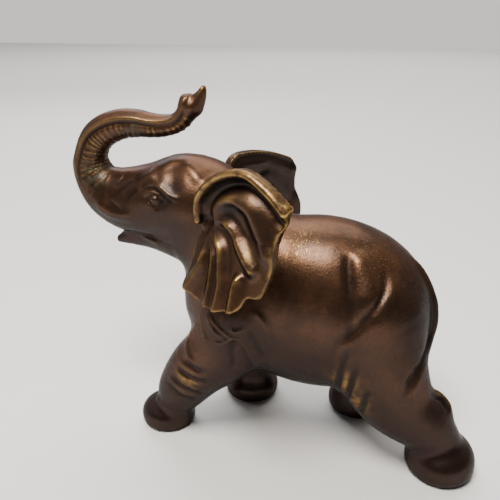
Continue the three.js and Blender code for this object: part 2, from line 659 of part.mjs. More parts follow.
// Thins a closed mesh to a number of triangles: the edge whose removal moves the surface least goes first.
function thinMesh({ positions, faces }, target) {
  const points = positions.map((p) => [...p]);
  const triangles = faces.map((f) => [...f]);
  const around = points.map(() => new Set());
  const quadrics = points.map(() => new Float64Array(10));
  const version = new Int32Array(points.length);
  const normal = (a, b, c) => {
    const [ux, uy, uz] = [b[0] - a[0], b[1] - a[1], b[2] - a[2]];
    const [vx, vy, vz] = [c[0] - a[0], c[1] - a[1], c[2] - a[2]];
    return [uy * vz - uz * vy, uz * vx - ux * vz, ux * vy - uy * vx];
  };
  triangles.forEach((f, i) => {
    const [a, b, c] = f.map((v) => points[v]);
    const n = normal(a, b, c);
    const size = Math.hypot(...n);
    for (const v of f) around[v].add(i);
    if (size < 1e-12) return;
    const [nx, ny, nz] = n.map((v) => v / size);
    const d = -(nx * a[0] + ny * a[1] + nz * a[2]);
    const plane = [nx * nx, nx * ny, nx * nz, nx * d, ny * ny, ny * nz, ny * d, nz * nz, nz * d, d * d];
    for (const v of f) plane.forEach((value, k) => (quadrics[v][k] += value * size));
  });
  const error = (q, x, y, z) => {
    const squares = q[0] * x * x + q[4] * y * y + q[7] * z * z;
    const products = q[1] * x * y + q[2] * x * z + q[5] * y * z;
    return squares + 2 * (products + q[3] * x + q[6] * y + q[8] * z) + q[9];
  };

  const heap = [];
  const push = (entry) => {
    let i = heap.push(entry) - 1;
    while (i > 0) {
      const parent = (i - 1) >> 1;
      if (heap[parent].cost <= entry.cost) break;
      heap[i] = heap[parent];
      i = parent;
    }
    heap[i] = entry;
  };
  const pop = () => {
    const top = heap[0];
    const last = heap.pop();
    let i = 0;
    while (heap.length) {
      let child = 2 * i + 1;
      if (child >= heap.length) break;
      if (child + 1 < heap.length && heap[child + 1].cost < heap[child].cost) child++;
      if (heap[child].cost >= last.cost) break;
      heap[i] = heap[child];
      i = child;
    }
    if (heap.length) heap[i] = last;
    return top;
  };
  // The best place on an edge is its middle, one end, or the point that the two ends' planes agree on.
  const offer = (a, b) => {
    const q = quadrics[a].map((v, k) => v + quadrics[b][k]);
    const [p, r] = [points[a], points[b]];
    const middle = p.map((v, c) => (v + r[c]) / 2);
    const places = [middle, p, r];
    const shape = new THREE.Matrix3(q[0], q[1], q[2], q[1], q[4], q[5], q[2], q[5], q[7]);
    if (Math.abs(shape.determinant()) > 1e-6) {
      const flattest = new THREE.Vector3(-q[3], -q[6], -q[8]).applyMatrix3(shape.invert());
      const length = Math.hypot(p[0] - r[0], p[1] - r[1], p[2] - r[2]);
      if (flattest.distanceTo(new THREE.Vector3(...middle)) < length) places.unshift(flattest.toArray());
    }
    let best = null;
    for (const place of places) {
      const cost = error(q, ...place);
      if (!best || cost < best.cost - 1e-12) best = { cost, place };
    }
    const length = (p[0] - r[0]) ** 2 + (p[1] - r[1]) ** 2 + (p[2] - r[2]) ** 2;
    push({ cost: best.cost + 1e-5 * length, place: best.place, a, b, at: version[a], bt: version[b] });
  };
  triangles.forEach(([a, b, c]) => {
    if (a < b) offer(a, b);
    if (b < c) offer(b, c);
    if (c < a) offer(c, a);
  });

  const neighbours = (v) => {
    const out = new Set();
    for (const i of around[v]) for (const n of triangles[i]) if (n !== v) out.add(n);
    return out;
  };
  const flips = (v, other, place) => {
    for (const i of around[v]) {
      if (triangles[i].includes(other)) continue;
      const before = normal(...triangles[i].map((n) => points[n]));
      const after = normal(...triangles[i].map((n) => (n === v ? place : points[n])));
      const dot = before[0] * after[0] + before[1] * after[1] + before[2] * after[2];
      const size = Math.hypot(...after);
      if (size < 1e-9 || dot < 0.3 * Math.hypot(...before) * size) return true;
    }
    return false;
  };
  let left = triangles.length;
  while (left > target && heap.length) {
    const { place, a, b, at, bt } = pop();
    if (version[a] !== at || version[b] !== bt) continue;
    const near = neighbours(a);
    const shared = [...neighbours(b)].filter((n) => near.has(n));
    if (shared.length !== 2 || flips(a, b, place) || flips(b, a, place)) continue;
    for (const i of [...around[b]]) {
      if (triangles[i].includes(a)) {
        for (const v of triangles[i]) around[v].delete(i);
        triangles[i] = null;
        left--;
      } else {
        triangles[i] = triangles[i].map((v) => (v === b ? a : v));
        around[a].add(i);
      }
    }
    around[b].clear();
    points[a] = place;
    quadrics[b].forEach((v, k) => (quadrics[a][k] += v));
    version[a]++;
    version[b] = -1;
    for (const n of neighbours(a)) {
      offer(a, n);
    }
  }
  const rename = new Map();
  const kept = triangles.filter(Boolean);
  const out = [];
  for (const f of kept) {
    for (const v of f) {
      if (!rename.has(v)) {
        rename.set(v, out.length);
        out.push(points[v]);
      }
    }
  }
  return { positions: out, faces: kept.map((f) => f.map((v) => rename.get(v))) };
}

// Solid: the soles are cut flat on the floor, and the animal is centred over it.

const wasm = await Module();
wasm.setup();

function solidFrom(positions, faces) {
  const mesh = new wasm.Mesh({
    numProp: 3,
    vertProperties: Float32Array.from(positions.flat()),
    triVerts: Uint32Array.from(faces.flat()),
  });
  return new wasm.Manifold(mesh);
}

function solidFromGeometry(geometry) {
  geometry.deleteAttribute('normal');
  geometry.deleteAttribute('uv');
  const merged = mergeVertices(geometry);
  const mesh = new wasm.Mesh({
    numProp: 3,
    vertProperties: Float32Array.from(merged.attributes.position.array),
    triVerts: Uint32Array.from(merged.index.array),
  });
  return new wasm.Manifold(mesh);
}

const axes = [
  latticeAxis(-62, 43, [[-24, 5]]),
  latticeAxis(-30, 33, [[-28, -12], [12, 32]]),
  latticeAxis(-3, 88, [[42, 73]]),
];
const animal = thinMesh(drawSurface(casting, axes), TRIANGLES);
for (const p of animal.positions) settle(casting, p);
const rough = solidFrom(animal.positions.map((p) => p.map((v) => v * HUNDREDTH)), animal.faces);
const floorDepth = 0.2 * LENGTH;
const floorBlock = new THREE.BoxGeometry(2 * LENGTH, LENGTH, floorDepth).translate(0, 0, -floorDepth / 2);
const cast = rough.subtract(solidFromGeometry(floorBlock)).getMesh();

const bodyGeometry = new THREE.BufferGeometry();
bodyGeometry.setAttribute('position', new THREE.BufferAttribute(cast.vertProperties, 3));
bodyGeometry.setIndex(new THREE.BufferAttribute(cast.triVerts, 1));
bodyGeometry.computeBoundingBox();
const middle = bodyGeometry.boundingBox.getCenter(new THREE.Vector3());
bodyGeometry.translate(-middle.x, -middle.y, 0);
bodyGeometry.computeVertexNormals();

const bronze = new THREE.MeshStandardMaterial({ color: 0x5a3b26, roughness: 0.38, metalness: 0.9 });
const elephant = new THREE.Mesh(bodyGeometry, bronze);
elephant.name = 'elephant';

const sculpture = new THREE.Group();
sculpture.add(elephant);

export default sculpture;
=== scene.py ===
# A cast bronze elephant, about 23 cm long, striding with its trunk thrown back over its brow and its ears
# spread. It is one casting under a rubbed brown patina, and it stands on four flat soles.
#
# Lengths are in hundredths of the animal's length until the casting is finished, then in metres. The animal
# faces -X, its left side is towards -Y, and the floor is Z = 0.

from itertools import combinations, product
from math import cos, radians, sin

import bmesh
import bpy
import numpy as np
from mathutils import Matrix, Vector


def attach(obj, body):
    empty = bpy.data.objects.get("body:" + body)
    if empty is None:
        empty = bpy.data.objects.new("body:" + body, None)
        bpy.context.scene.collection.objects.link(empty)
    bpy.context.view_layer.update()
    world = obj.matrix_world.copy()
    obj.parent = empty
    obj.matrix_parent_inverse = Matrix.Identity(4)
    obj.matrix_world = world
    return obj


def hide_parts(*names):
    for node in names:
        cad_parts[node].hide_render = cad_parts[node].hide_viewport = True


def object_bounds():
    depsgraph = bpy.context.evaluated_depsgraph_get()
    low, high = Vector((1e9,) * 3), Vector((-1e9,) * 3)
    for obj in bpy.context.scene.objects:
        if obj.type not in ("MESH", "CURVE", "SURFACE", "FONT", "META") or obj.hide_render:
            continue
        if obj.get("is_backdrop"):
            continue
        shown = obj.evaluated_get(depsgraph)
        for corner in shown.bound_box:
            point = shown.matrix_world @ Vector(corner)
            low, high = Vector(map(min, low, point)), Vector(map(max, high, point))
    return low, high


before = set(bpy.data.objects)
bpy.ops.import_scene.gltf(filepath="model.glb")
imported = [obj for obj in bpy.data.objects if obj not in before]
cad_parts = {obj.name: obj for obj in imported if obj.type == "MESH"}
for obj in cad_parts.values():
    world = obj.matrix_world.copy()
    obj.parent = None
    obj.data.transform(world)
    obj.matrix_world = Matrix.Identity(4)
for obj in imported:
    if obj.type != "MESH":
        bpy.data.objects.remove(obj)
cad_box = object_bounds()

LENGTH = 0.23  # of the animal in metres, from its trunk to its hind foot
HUNDREDTH = LENGTH / 100
MILLIMETRE = 0.001 / HUNDREDTH  # in the hundredths that the shapes are drawn in

# Body: a barrel of a torso with a thick neck rising from it.
# In the wax these were built up as swept lumps and smoothed together, so each is a limb here: a field that
# is negative inside the wax, swept through stations [x, y, z, radius seen from the side, half width].

TINY = 1e-6  # keeps a division from nothing


def blend(a, b, width):
    """Joins two fields, filling the crease between them over a width."""
    overlap = np.maximum(width - np.abs(a - b), 0) / width
    return np.minimum(a, b) - 0.25 * width * overlap**2


def smoothstep(low, high, value):
    t = np.clip((value - low) / (high - low), 0, 1)
    return t * t * (3 - 2 * t)


def smooth_rows(rows, steps=3, closed=False):
    """Passes a smooth curve through rows of numbers, with this many rows along each span."""
    rows = np.array(rows, float)
    last = len(rows) - 1
    out = []
    for i in range(last + closed):
        picks = [i - 1, i, i + 1, i + 2]
        p, q, r, s = (rows[k % (last + 1) if closed else min(max(k, 0), last)] for k in picks)
        for t in np.arange(steps) / steps:
            out.append(0.5 * (2 * q + (r - p) * t + (2 * p - 5 * q + 4 * r - s) * t**2
                              + (3 * q - p - 3 * r + s) * t**3))
    return np.array(out if closed else out + [rows[-1]])


def nearest_on_spans(rows, p):
    """For each point and each span of a line: how far along the span is nearest, and the gap to there."""
    spans = np.diff(rows, axis=0)
    t = (p @ spans.T - (rows[:-1] * spans).sum(1)) / (spans**2).sum(1)
    t = np.clip(t, 0, 1)
    return t, p[:, None] - rows[:-1] - t[..., None] * spans


def near_box(low, high, reach, exact):
    """A field that is worked out near its box, and is the distance to that box farther off."""
    def field(p):
        value = np.maximum(low - p, p - high).max(axis=1)
        near = np.flatnonzero(value <= reach)
        if near.size:
            value[near] = exact(p[near])
        return value
    return field


def limb(stations, skin=None):
    """A form swept through stations. Its skin, if it has one, gives the relief's height from the place
    along the limb, the angle from the outside of its bend and the radius there."""
    rows = smooth_rows(stations, steps=5)
    line, side_radius, half_width = rows[:, :3], rows[:, 3], rows[:, 4]
    stout = np.maximum(side_radius, half_width)[:, None]
    lengths = np.linalg.norm(np.diff(line, axis=0), axis=1)
    arcs = np.concatenate([[0], np.cumsum(lengths)])

    def exact(p):
        t, gap = nearest_on_spans(line, p)
        side = side_radius[:-1] + np.diff(side_radius) * t
        across = half_width[:-1] + np.diff(half_width) * t
        flat = gap[..., 0] ** 2 + gap[..., 2] ** 2
        distance = np.sqrt(flat + gap[..., 1] ** 2)
        ratio = np.sqrt(flat / side**2 + (gap[..., 1] / across) ** 2)
        value = distance * (1 - 1 / np.maximum(ratio, TINY))
        value = np.where(distance < TINY, -np.minimum(side, across), value)
        best = value.argmin(axis=1)
        pick = (np.arange(len(p)), best)
        if skin is None:
            return value[pick]
        along = np.diff(line, axis=0)[best]
        outward = gap[pick][:, 2] * along[:, 0] - gap[pick][:, 0] * along[:, 2]
        outward /= np.hypot(along[:, 0], along[:, 2]) * np.maximum(distance[pick], TINY)
        angle = np.arccos(np.clip(outward, -1, 1))
        return value[pick] - skin(arcs[best] + lengths[best] * t[pick], angle, side[pick])

    return near_box((line - stout).min(0), (line + stout).max(0), reach=8, exact=exact)


torso = limb([
    [-17.5, 0, 33, 13.5, 13],
    [-10, 0, 35, 17.8, 16],
    [0, 0, 35.4, 21.3, 17],
    [7, 0, 35.2, 20.4, 16.8],
    [11.4, 0, 34.5, 17, 15.8],
])
neck = limb([
    [-24.8, 0, 56, 10.5, 10],
    [-19, 0, 48, 13, 12],
    [-15.5, 0, 38, 14.5, 13.5],
])

# Legs: four stout legs in mid stride, each run down to its ankle, with a domed foot on a flat sole.
# The left hind leg has the bump of its hock.


def ellipsoid(cx, cy, cz, rx, ry, rz, pitch=0):
    c, s = cos(radians(pitch)), sin(radians(pitch))

    def field(p):
        dx, dy, dz = (p - (cx, cy, cz)).T
        dx, dy, dz = (dx * c + dz * s) / rx, dy / ry, (dz * c - dx * s) / rz
        ratio = np.sqrt(dx**2 + dy**2 + dz**2)
        slope = np.sqrt((dx / rx) ** 2 + (dy / ry) ** 2 + (dz / rz) ** 2)
        return ratio * (ratio - 1) / np.maximum(slope, TINY)

    return field


DOME_POWER = 2.2  # 2 would be an ellipsoid, and more is squarer
SOLE_POWER = 3
SOLE_DEPTH = 1.4  # of the height of the foot's widest place, so that the floor cuts it flat


def foot(cx, cy, cz, rx, ry, dome):
    """A dome over a sole with a squarer edge, both round seen from above."""
    def field(p):
        flat = np.hypot((p[:, 0] - cx) / rx, (p[:, 1] - cy) / ry)
        above = p[:, 2] > cz
        power = np.where(above, DOME_POWER, SOLE_POWER)
        depth = np.where(above, dome, SOLE_DEPTH * cz)
        ratio = (flat**power + np.abs((p[:, 2] - cz) / depth) ** power) ** (1 / power)
        return (ratio - 1) * min(rx, dome)

    return field


left_fore = limb([
    [-15, -9.5, 33, 10, 8],
    [-19.3, -10.3, 25.5, 8.6, 7.4],
    [-25.8, -10, 18.6, 7.6, 6.8],
    [-30.4, -9.3, 12, 6.5, 6],
    [-32.6, -9, 7.6, 5.2, 5.2],
])
right_fore = limb([
    [-17, 9, 32, 9.5, 8],
    [-17.6, 9.8, 22, 7.6, 7],
    [-17, 9.2, 13, 6.4, 6.2],
    [-16.8, 8.8, 7, 5.8, 5.8],
])
left_hind = limb([
    [12.8, -7.5, 34, 13, 9.5],
    [17.3, -8.8, 25, 10.9, 8.6],
    [21.8, -9.4, 17.2, 8.8, 7.6],
    [28, -9.4, 12, 6.9, 6.7],
    [31.6, -9.1, 7.7, 5.8, 6],
])
right_hind = limb([
    [12, 7.5, 34, 12.5, 9.5],
    [11, 9, 22, 9.8, 8],
    [11.3, 9, 14, 7.2, 7],
    [12, 8.8, 7, 6.2, 6.2],
])
legs = [left_fore, right_fore, left_hind, right_hind]
hock = ellipsoid(31.2, -7.8, 15.8, 4, 3, 2.4, pitch=-40)
feet = [
    foot(-35.5, -8.8, 2.4, 7, 6.7, dome=4.5),
    foot(-17, 8.6, 2.4, 7.4, 7.2, dome=5),
    foot(33.3, -9.6, 2.8, 8, 8.4, dome=6),
    foot(12.6, 8.6, 2.6, 7.6, 7, dome=5.4),
]

# Head and trunk: a domed skull, the open lower lip, and the trunk curled up and back over the brow.
# The outside of the trunk's bend is a smooth band with a raised line and a groove along each edge, and the
# rest of it is cut with close rings down to the nostrils.

RING_SPACING = 1.32
RING_HEIGHT = 0.2
RING_WIDTH = 0.2  # of the spacing
LINE_HEIGHT = 0.4
GROOVE_DEPTH = 0.35
BAND_EDGE = radians(62)


def trunk_skin(arc, angle, radius):
    off = radius * (angle - BAND_EDGE)
    line = LINE_HEIGHT * np.exp(-((off / 0.5) ** 2))
    groove = GROOVE_DEPTH * np.exp(-(((off - 1) / 0.55) ** 2))
    turn = arc / RING_SPACING + 0.16 * np.sin(0.9 * arc) + 0.12 * np.sin(2.1 * angle + 0.6 * arc)
    ring = np.exp(-(((turn % 1 - 0.5) / RING_WIDTH) ** 2)) - 0.45
    ringed = smoothstep(1.1, 1.8, off) * smoothstep(12, 22, arc) * smoothstep(60, 57, arc)
    return smoothstep(20, 30, arc) * (line - groove) + RING_HEIGHT * ringed * ring


skull = ellipsoid(-28.3, 0, 59.6, 10.8, 9.6, 9.5)
trunk = limb([
    [-33, 0, 58.7, 10, 9.6],
    [-40, 0, 57.8, 8.9, 8.2],
    [-46, 0, 57.6, 7.9, 6.9],
    [-51, 0, 59, 6.5, 5.8],
    [-54.2, 0, 62.2, 5.2, 4.8],
    [-55.4, 0, 65.5, 4.5, 4.2],
    [-55.2, 0, 67.9, 4, 4],
    [-54.2, 0, 70.7, 3.8, 3.9],
    [-52.5, 0, 73, 3.8, 3.8],
    [-49.7, 0, 74.8, 3.7, 3.7],
    [-46.2, 0, 76, 3.5, 3.5],
    [-42.5, 0, 76.3, 3.2, 3.3],
    [-39.4, 0, 76, 2.9, 3],
    [-36.1, 0, 76, 2.6, 2.8],
    [-32.9, 0, 76.7, 2.3, 2.6],
    [-30.8, 0, 78.3, 2.3, 2.5],
    [-29.4, 0, 80.6, 2.4, 2.6],
], trunk_skin)
trunk_finger = limb([
    [-28.2, 0, 80.5, 2, 2.1],
    [-27.1, 0, 82.6, 1.6, 1.6],
    [-26, 0, 84.6, 0.7, 0.9],
])
trunk_lip = limb([
    [-29.8, 0, 80.8, 1.6, 2],
    [-30.6, 0, 82.4, 0.7, 1.2],
])
nostrils = ellipsoid(-28.7, 0, 84.9, 1.6, 1.4, 1.3)
jaw = limb([
    [-32, 0, 51, 7.5, 7.5],
    [-39.4, 0, 49.8, 4.6, 4.6],
    [-45.6, 0, 48.2, 2.4, 2.8],
    [-49.2, 0, 47, 1.1, 1.4],
])
eye_socket = ellipsoid(-35.6, -10.6, 61.1, 3, 2, 1.9)
eye_ball = ellipsoid(-35.4, -8.5, 61, 1.5, 1.25, 1.1)

# Ears: two folded sheets, cast on and swept back from the temples, their top edges rolled into a thick rim.
# Each is drawn in its own plane, where s runs from the root to the back corner and h runs up.

EAR_THICKNESS = 3.4 * MILLIMETRE
EAR_RIM_RADIUS = 1.9 * MILLIMETRE
RIM_STANDS = 1.3
TROUGH_DEPTH = 1.3  # of the hollow that runs under the rim
LEFT_OUTLINE = [
    [-0.6, 0.7], [-0.4, 5], [2.1, 8.4], [6.4, 11.4], [11.8, 13.2], [15.8, 13.1], [20.2, 11.1],
    [23.4, 8.9], [24.8, 7.6], [23.3, 3.9], [22.1, 0.4], [22.4, -3.4], [21.8, -8], [21, -10.4],
    [18, -11.2], [17, -13.6], [14.2, -14.9], [8.6, -15.8], [4.2, -15.4], [1.5, -14.2],
    [0.3, -12.4], [0.4, -9.6], [0.8, -5.5], [0.6, -0.7],
]
RIGHT_OUTLINE = [
    [-1.6, 0.7], [-2.8, 5], [-2.6, 9], [0, 11.4], [5, 11.5], [9.1, 11], [14, 9.9], [17.6, 8.6],
    [19.9, 7.4], [21.2, 4.6], [21.5, 0.1], [22.6, -3.2], [23.8, -6.2], [23.6, -9.8], [21, -12.6],
    [17.2, -14], [14.6, -15.6], [8.6, -16.8], [3.6, -16.3], [-0.4, -15.4], [-1.4, -13.5],
    [-0.3, -9.9], [0.5, -5.5], [0.1, -0.7],
]
# Each fold has its height, its width and the line that it follows from the root.
EAR_FOLDS = [
    (1.5, 1.5, [[3.6, 2.6], [7, 5.4], [10.6, 7], [12.8, 6.9], [15.5, 5.9], [17.1, 3.9], [18.7, 1.1],
                [20.8, -1.4]]),
    (1.8, 1.1, [[4.5, 0.7], [8.4, 1.7], [10.8, 1.3], [12.5, -0.2], [14, -1.9], [16.3, -3.8],
                [18.2, -5]]),
    (1.8, 1, [[4.4, -0.3], [6.8, -1.9], [8.7, -3.2], [9.5, -4.7], [10.6, -7.9], [11.4, -10.6],
              [11.4, -17]]),
    (1.1, 0.9, [[4.5, -2.4], [6.9, -5.4], [7.9, -9.9], [8.2, -13.3], [8.6, -18]]),
    (1.5, 1.1, [[3.6, -2.7], [4.1, -6.2], [3.8, -8.6], [2, -12.2], [-0.8, -16]]),
    (1.9, 1.1, [[16, -6.4], [15.3, -8.3], [15.4, -11.1], [15.9, -16]]),
    (-1.6, 0.8, [[5, 0.9], [3, 0.5], [1, 0.1], [-1.8, -0.2]]),
]
ear_folds = [(height, width, smooth_rows(line)) for height, width, line in EAR_FOLDS]


def line_distance(rows, p):
    """How far each point is from a line, and how far along the line its nearest place is, from 0 to 1."""
    t, gap = nearest_on_spans(rows, p)
    square = np.einsum("nsk,nsk->ns", gap, gap)
    best = square.argmin(axis=1)
    pick = (np.arange(len(p)), best)
    return np.sqrt(square[pick]), (best + t[pick]) / (len(rows) - 1)


def outline_distance(rows, p):
    """How far each point of the plane is from the outline, below 0 inside it."""
    distance, _ = line_distance(np.vstack([rows, rows[:1]]), p)
    a, b = rows, np.roll(rows, 1, axis=0)
    s, h = p[:, :1], p[:, 1:]
    across = (a[:, 1] > h) != (b[:, 1] > h)
    rise = np.where(b[:, 1] == a[:, 1], 1, b[:, 1] - a[:, 1])
    left_of = s < (b[:, 0] - a[:, 0]) * (h - a[:, 1]) / rise + a[:, 0]
    inside = (across & left_of).sum(axis=1) % 2 == 1
    return np.where(inside, -distance, distance)


def ear(side, root, flare, outline, lean):
    """A sheet in its own plane. Side is 1 for the right ear and -1 for the left, and flare is in degrees."""
    turn = radians(flare)
    half = 0.5 * EAR_THICKNESS
    rounding = 0.45 * half
    edge_rows = smooth_rows(outline, closed=True)
    rim_rows = smooth_rows([[s + 0.07 * (11 - s), h - 0.7] for s, h in outline[:9]])

    def sheet(p):
        flat = p[:, :2]
        normal = p[:, 2]
        to_rim, place = line_distance(rim_rows, flat)
        roll = 1 - 0.5 * smoothstep(0.45, 1, place)
        stands = RIM_STANDS * roll * np.exp(-((to_rim / 0.95) ** 2))
        stands -= TROUGH_DEPTH * np.exp(-(((to_rim - 2.5) / 1.2) ** 2))
        for height, width, rows in ear_folds:
            distance, along = line_distance(rows, flat)
            spread = width * (0.8 + 0.7 * along)
            stands += height * smoothstep(0, 0.3, along) * np.exp(-((distance / spread) ** 2))
        drape = lean * np.maximum(-p[:, 1], 0)
        edge = outline_distance(edge_rows, flat) + rounding
        front, back = drape + stands, drape + 0.4 * stands
        face = 0.8 * np.maximum(normal - front, back - normal) - half + rounding
        corner = np.hypot(np.maximum(edge, 0), np.maximum(face, 0))
        slab = np.minimum(np.maximum(edge, face), 0) + corner - rounding
        taper = EAR_RIM_RADIUS * roll
        rim = np.hypot(to_rim, normal - 1.2) - taper
        return blend(slab, rim, 0.6)

    in_plane = near_box(np.array([-4, -19, -6]), np.array([28, 15, 11]), reach=6, exact=sheet)

    def field(p):
        dx = p[:, 0] - root[0]
        dy = (p[:, 1] - root[1]) * side
        return in_plane(np.column_stack([
            dx * cos(turn) + dy * sin(turn), p[:, 2] - root[2], dy * cos(turn) - dx * sin(turn)]))

    return field


left_ear = ear(-1, root=[-23, -13, 59], flare=29.6, outline=LEFT_OUTLINE, lean=0.36)
right_ear = ear(1, root=[-22, 11, 56], flare=56, outline=RIGHT_OUTLINE, lean=0)
left_ear_root = limb([
    [-19.5, -8.5, 63, 4, 4.5],
    [-18.5, -9.5, 57, 5, 5.5],
    [-17.5, -10, 49, 5, 6],
])
right_ear_root = limb([
    [-18.5, 8.5, 60.5, 3.2, 4],
    [-17, 10, 55, 4.6, 5],
    [-16, 10.5, 48, 5, 5],
])

# Tail: a cord of bronze that lies on the rump and swings over to the left thigh.
# It stands half proud of the skin and thins to a point above the hock.

TAIL_RADIUS = 3 * MILLIMETRE
tail = limb([[x, y, z, share * TAIL_RADIUS, share * TAIL_RADIUS] for x, y, z, share in [
    [18, 0, 49.5, 0.7],
    [23.3, -0.3, 46.8, 1],
    [27.2, -0.8, 40.4, 1],
    [28.3, -2, 35.2, 1],
    [27.7, -4, 31.4, 0.95],
    [26.8, -7.6, 29, 0.9],
    [26, -11, 27.6, 0.85],
    [25.4, -13.6, 26, 0.75],
    [24.8, -15, 23.8, 0.6],
    [24.6, -15.4, 22, 0.3],
]])

# Folds: the creases and lifted edges worked into the wax with a round-ended tool.
# Each is a soft-sided stroke along a line, full in its middle and fading to both ends: its width, its height
# (a groove where that is below nothing) and the points it passes through.


def mirror_left(p):
    return np.column_stack([p[:, 0], -np.abs(p[:, 1]), p[:, 2]])


def stroke(width, height, points, mirrored=False):
    rows = smooth_rows(points)
    low, high = rows.min(0) - 3 * width, rows.max(0) + 3 * width

    def lay(p):
        if mirrored:
            p = mirror_left(p)
        value = np.zeros(len(p))
        near = np.flatnonzero(((p > low) & (p < high)).all(axis=1))
        if near.size:
            distance, place = line_distance(rows, p[near])
            fade = smoothstep(0, 0.3, place) * smoothstep(1, 0.7, place)
            value[near] = height * fade * np.exp(-((distance / width) ** 2))
        return value

    return lay


FLANK_FOLDS = [
    (1, -0.8, [[8.4, -9, 52.8], [8.7, -10.2, 51.7], [9.2, -13, 48.1], [10.1, -15.1, 44.5],
               [10.2, -16.3, 41.6], [10.1, -16.7, 38.1], [9.6, -16.8, 35.5]]),
    (2.6, 0.7, [[9.9, -7.6, 53], [10.9, -9.4, 51.8], [12.3, -10.9, 49.8], [13.4, -12.7, 47.2],
                [13.2, -14.9, 44.1], [11.9, -16, 41.6]]),
    (1.15, -0.7, [[14.9, -6.6, 52.2], [16, -8.5, 50.3], [16.5, -10.3, 48.3], [16.6, -11.9, 46.4],
                  [15.8, -13.5, 44.4], [14.9, -14.8, 42.9], [13.3, -15.8, 40.8], [11.5, -16.4, 38.2],
                  [9.5, -16.5, 36.1], [8.1, -16.6, 34.1], [7.3, -16.3, 28.7], [6.9, -15.4, 26]]),
    (3.6, 0.45, [[17.5, -8.6, 49.4], [19.3, -11.2, 46.7], [18.1, -14.3, 44], [15.4, -16.7, 40.7],
                 [12.1, -17.1, 36.7]]),
    (0.35, -0.15, [[12, -8, 52], [12.9, -9.6, 50.4], [13.5, -11.2, 48.6]]),
]
THIGH_FOLDS = [
    (0.8, -0.5, [[10.8, -17.3, 34], [10, -17.2, 31], [9.2, -16.2, 27], [8.7, -14.5, 22.6],
                 [8.4, -13, 20.6]]),
    (0.8, -0.5, [[13, -17.3, 30], [12.1, -17, 27], [11.5, -15.5, 22.7], [10.9, -12.6, 17.4],
                 [10.8, -11.5, 16]]),
    (0.8, -0.4, [[16, -17, 24], [15.1, -16.8, 21.6], [14.5, -15.3, 17.5], [14.2, -13, 14.5]]),
    (0.8, 0.6, [[28.2, -11.9, 23.6], [31, -8.3, 20], [32.8, -8.1, 18.6], [34, -8.8, 17],
                [34.3, -10, 15]]),
    (0.6, -0.6, [[28.9, -11.9, 21.6], [31.5, -9.3, 19.1], [32.7, -9.6, 17.8], [33.3, -10.8, 16.6]]),
    (0.9, -0.5, [[27.6, -4, 33.6], [26.8, -8.4, 31.4], [25.2, -12.4, 29.4], [23.6, -15.2, 26.2],
                 [22.6, -16.2, 22]]),
]
FORELEG_FOLDS = [
    (0.7, -0.5, [[-28.6, -15, 24], [-25.6, -16.7, 23.1], [-23.4, -17.3, 22.4], [-21.2, -17.5, 22.3]]),
    (0.75, -0.6, [[-30, -14.8, 21.4], [-28, -16.3, 20.6], [-25.2, -17, 19.7], [-22.8, -17, 19.3],
                  [-20.9, -16.5, 19.2]]),
    (0.75, -0.6, [[-32, -14.2, 18.4], [-30.3, -15.7, 17.6], [-27.4, -16.3, 15.8], [-24.9, -16, 15.1],
                  [-23, -14.8, 14.6]]),
    (0.75, -0.5, [[-34, -13, 16], [-32, -15.1, 15.1], [-29.2, -15.7, 12.9], [-26.6, -15.3, 12.4],
                  [-24.8, -14, 12.2]]),
    (0.7, 0.5, [[-23.5, -14.4, 34.6], [-25.4, -13.6, 30.9], [-27.4, -12, 28], [-27.2, -14.1, 26.3],
                [-25.9, -15.9, 24.5], [-23.3, -17.1, 23.3]]),
    (0.7, 0.5, [[-21.9, -15, 37.2], [-20.5, -16.3, 34.5], [-18.9, -17.1, 33.2], [-16, -17.6, 32]]),
    (0.8, -0.9, [[-14.6, -17.6, 33.2], [-15, -17.6, 31.2], [-15.3, -17.6, 29.2], [-15.1, -17.3, 26.4],
                 [-15.8, -16.6, 23.4]]),
    (0.6, 0.4, [[-12.6, -17.6, 33], [-15.9, -17.7, 32.2], [-17.6, -17.7, 31.2], [-20, -17.3, 30.6]]),
    (0.8, -0.5, [[-13.4, -17.5, 32.6], [-12.2, -17, 29.1], [-11.3, -15.5, 25.5], [-10.9, -13.2, 21.6]]),
    (1.1, -0.5, [[-11.8, -17.4, 36], [-9.8, -17, 31.5], [-8.4, -15.1, 26.6]]),
    # the fine raised creases over the shoulder
    (0.45, 0.35, [[-24.2, -13.4, 35.9], [-23.1, -14.6, 33.4], [-21.9, -16, 31], [-20.4, -16.9, 28.6]]),
    (0.45, 0.35, [[-21.2, -15.3, 37.4], [-19.7, -16.5, 35.5], [-16.9, -17.5, 33.7], [-14.6, -17.7, 32.6]]),
    (0.45, 0.3, [[-27.7, -13.5, 27.5], [-26.3, -12.5, 30.6], [-24.3, -14, 33.4]]),
    (0.5, 0.35, [[-13.5, -17.7, 33.3], [-11.8, -16.5, 28.9], [-10.5, -13.6, 23.3]]),
    (0.6, 0.3, [[-10.5, -16.3, 40], [-8, -16.7, 36.8], [-6.1, -16.4, 31.5]]),
    (0.4, 0.3, [[-15.9, -17.4, 35.6], [-14.5, -17.6, 34.5], [-11.6, -17.3, 35.6]]),
]
